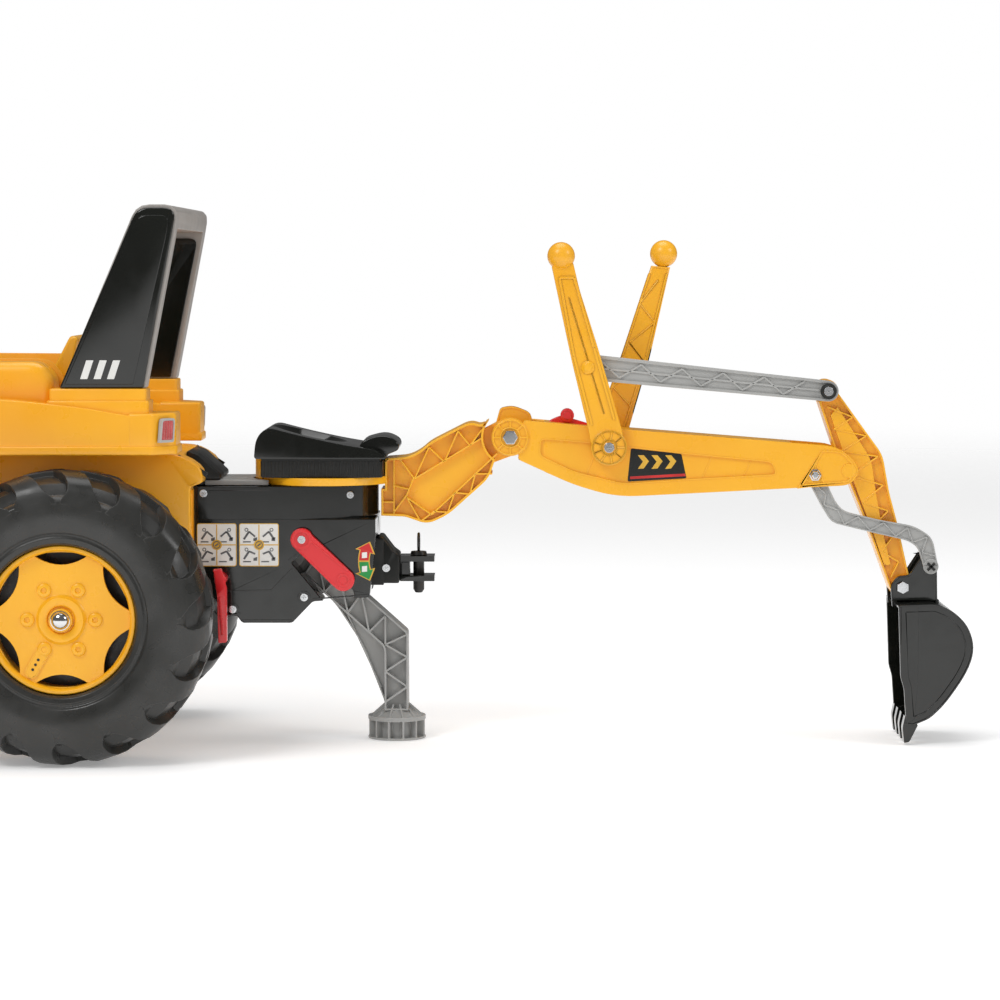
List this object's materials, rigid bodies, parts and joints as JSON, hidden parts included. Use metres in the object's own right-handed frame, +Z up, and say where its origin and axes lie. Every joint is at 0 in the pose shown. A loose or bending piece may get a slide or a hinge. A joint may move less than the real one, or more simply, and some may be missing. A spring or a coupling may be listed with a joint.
{
  "type": "toy backhoe loader",
  "caption": "Ride-on toy tractor with a front loader and a rear digger with slewing scoop seat, levers, jointed boom, dipper and bucket, and a stabiliser leg.",
  "frame": {"origin": "middle of the footprint, on the ground under the tyres and the stabiliser foot", "axes": "+X towards the digger end, -X towards the front loader, -Y is the side that carries the lock lever, +Z up"},
  "size_m": [1.99, 0.53, 0.625],
  "materials": {
    "yellow_body": "gloss",
    "yellow_digger": "satin",
    "black_gloss": "gloss",
    "black_satin": "satin",
    "tyre_black": "matte",
    "grey_plastic": "satin",
    "hoop_grey": "satin",
    "red_plastic": "gloss",
    "dark_steel": "satin",
    "chrome_metal": "polished",
    "lens_red": "gloss"
  },
  "bodies": {
    "tractor": {"chassis_frame": "dark_steel", "chain_guard": "black_satin", "body_hull": "yellow_body", "bonnet": "yellow_body", "grille": "black_gloss", "fender_near": "yellow_body", "fender_far": "yellow_body", "tail_light_near": "lens_red", "tail_light_far": "lens_red", "tractor_seat": "yellow_body", "roll_hoop": "hoop_grey", "hoop_panel_near": "black_gloss", "hoop_panel_far": "black_gloss", "hoop_lining_near": "black_gloss", "hoop_lining_far": "black_gloss", "coupling_bracket": "black_gloss", "housing_near": "black_gloss", "housing_far": "black_gloss", "housing_plate": "grey_plastic", "hitch_bracket": "black_gloss", "hitch_jaw": "black_gloss"},
    "rear_axle_set": {"rear_axle": "dark_steel", "rear_tyre_near": "tyre_black", "rear_tyre_far": "tyre_black", "rear_rim_near": "yellow_body", "rear_rim_far": "yellow_body", "hub_cap_near": "chrome_metal", "hub_cap_far": "chrome_metal"},
    "crank_set": {"pedal_crank": "dark_steel"},
    "pedal_near_set": {"pedal_near": "black_satin"},
    "pedal_far_set": {"pedal_far": "black_satin"},
    "front_axle_set": {"front_axle": "dark_steel"},
    "front_wheel_near_set": {"front_tyre_near": "tyre_black", "front_rim_near": "yellow_body"},
    "front_wheel_far_set": {"front_tyre_far": "tyre_black", "front_rim_far": "yellow_body"},
    "steering_set": {"steering_wheel": "black_satin"},
    "loader_set": {"loader_arm_near": "yellow_body", "loader_arm_far": "yellow_body", "loader_crossbar": "dark_steel"},
    "loader_bucket_set": {"loader_bucket": "yellow_body"},
    "coupling_latch_set": {"coupling_latch": "red_plastic"},
    "lock_lever_set": {"leg_lock_lever": "red_plastic"},
    "leg_set": {"stabiliser_leg": "grey_plastic"},
    "hitch_pin_set": {"hitch_pin": "dark_steel"},
    "slew_set": {"swing_plate": "yellow_digger", "scoop_seat": "black_gloss", "swing_arm": "yellow_digger", "boom_pivot_bolt": "chrome_metal"},
    "boom_set": {"boom_near": "yellow_digger", "boom_far": "yellow_digger", "lever_far": "yellow_digger"},
    "boom_latch_set": {"boom_latch": "red_plastic"},
    "dipper_set": {"dipper_arm": "yellow_digger"},
    "lever_set": {"lever_near": "yellow_digger"},
    "rod_set": {"lever_rod": "grey_plastic"},
    "bucket_set": {"digger_bucket": "black_gloss"},
    "link_set": {"bucket_link": "grey_plastic"}
  },
  "joints": [
    {"name": "rear_wheel_spin", "type": "hinge", "parent": "tractor", "child": "rear_axle_set", "pos_m": [-0.04, 0, 0.165], "axis": [0, 1, 0], "continuous": true},
    {"name": "crank_spin", "type": "hinge", "parent": "tractor", "child": "crank_set", "pos_m": [-0.34, 0, 0.17], "axis": [0, 1, 0], "continuous": true},
    {"name": "pedal_near_spin", "type": "hinge", "parent": "crank_set", "child": "pedal_near_set", "pos_m": [-0.4, -0.117, 0.17], "axis": [0, 1, 0], "continuous": true},
    {"name": "pedal_far_spin", "type": "hinge", "parent": "crank_set", "child": "pedal_far_set", "pos_m": [-0.28, 0.117, 0.17], "axis": [0, 1, 0], "continuous": true},
    {"name": "front_axle_steer", "type": "hinge", "parent": "tractor", "child": "front_axle_set", "pos_m": [-0.6, 0, 0.137], "axis": [0, 0, 1], "range_deg": [-15, 15]},
    {"name": "front_wheel_near_spin", "type": "hinge", "parent": "front_axle_set", "child": "front_wheel_near_set", "pos_m": [-0.6, -0.175, 0.115], "axis": [0, 1, 0], "continuous": true},
    {"name": "front_wheel_far_spin", "type": "hinge", "parent": "front_axle_set", "child": "front_wheel_far_set", "pos_m": [-0.6, 0.175, 0.115], "axis": [0, 1, 0], "continuous": true},
    {"name": "steering_wheel_turn", "type": "hinge", "parent": "tractor", "child": "steering_set", "pos_m": [-0.255, 0, 0.505], "axis": [0.4969, 0, 0.8678], "range_deg": [-15, 15]},
    {"name": "loader_lift", "type": "hinge", "parent": "tractor", "child": "loader_set", "pos_m": [-0.29, 0, 0.4], "axis": [0, 1, 0], "range_deg": [0, 35]},
    {"name": "loader_bucket_tilt", "type": "hinge", "parent": "loader_set", "child": "loader_bucket_set", "pos_m": [-0.78, 0, 0.105], "axis": [0, 1, 0], "range_deg": [-45, 18]},
    {"name": "coupling_latch_turn", "type": "hinge", "parent": "tractor", "child": "coupling_latch_set", "pos_m": [0.123, -0.085, 0.196], "axis": [0, 1, 0], "range_deg": [-20, 0]},
    {"name": "leg_lock_turn", "type": "hinge", "parent": "tractor", "child": "lock_lever_set", "pos_m": [0.216, -0.076, 0.241], "axis": [0, 1, 0], "range_deg": [-35, 0]},
    {"name": "leg_fold", "type": "hinge", "parent": "tractor", "child": "leg_set", "pos_m": [0.202, 0, 0.218], "axis": [0, 1, 0], "range_deg": [-11, 0]},
    {"name": "hitch_pin_lift", "type": "slide", "parent": "tractor", "child": "hitch_pin_set", "axis": [0, 0, 1], "range_m": [0, 0.009]},
    {"name": "digger_slew", "type": "hinge", "parent": "tractor", "child": "slew_set", "pos_m": [0.239, 0, 0.302], "axis": [0, 0, 1], "range_deg": [-60, 60]},
    {"name": "boom_lift", "type": "hinge", "parent": "slew_set", "child": "boom_set", "pos_m": [0.457, 0, 0.357], "axis": [0, 1, 0], "range_deg": [-40, 12]},
    {"name": "boom_latch_turn", "type": "hinge", "parent": "boom_set", "child": "boom_latch_set", "pos_m": [0.512, 0, 0.369], "axis": [0, 1, 0], "range_deg": [-8, 0]},
    {"name": "dipper_swing", "type": "hinge", "parent": "boom_set", "child": "dipper_set", "pos_m": [0.8525, 0, 0.318], "axis": [0, 1, 0], "range_deg": [-25, 30]},
    {"name": "near_lever_swing", "type": "hinge", "parent": "boom_set", "child": "lever_set", "pos_m": [0.572, -0.044, 0.346], "axis": [0, 1, 0], "range_deg": [-25, 30]},
    {"name": "rod_turn", "type": "hinge", "parent": "lever_set", "child": "rod_set", "pos_m": [0.547, -0.03, 0.439], "axis": [0, 1, 0], "range_deg": [-30, 25]},
    {"name": "bucket_curl", "type": "hinge", "parent": "dipper_set", "child": "bucket_set", "pos_m": [0.917, 0, 0.1805], "axis": [0, 1, 0], "range_deg": [-25, 30]},
    {"name": "bucket_link_turn", "type": "hinge", "parent": "boom_set", "child": "link_set", "pos_m": [0.813, -0.028, 0.313], "axis": [0, 1, 0], "range_deg": [-25, 30]}
  ],
  "couplings": [
    {"joint": "crank_spin", "follows": "rear_wheel_spin", "ratio": 0.6667},
    {"joint": "steering_wheel_turn", "follows": "front_axle_steer", "ratio": 1},
    {"joint": "near_lever_swing", "follows": "dipper_swing", "ratio": 1},
    {"joint": "rod_turn", "follows": "dipper_swing", "ratio": -1},
    {"joint": "bucket_curl", "follows": "dipper_swing", "ratio": 0.62},
    {"joint": "bucket_link_turn", "follows": "dipper_swing", "ratio": 0.91}
  ]
}
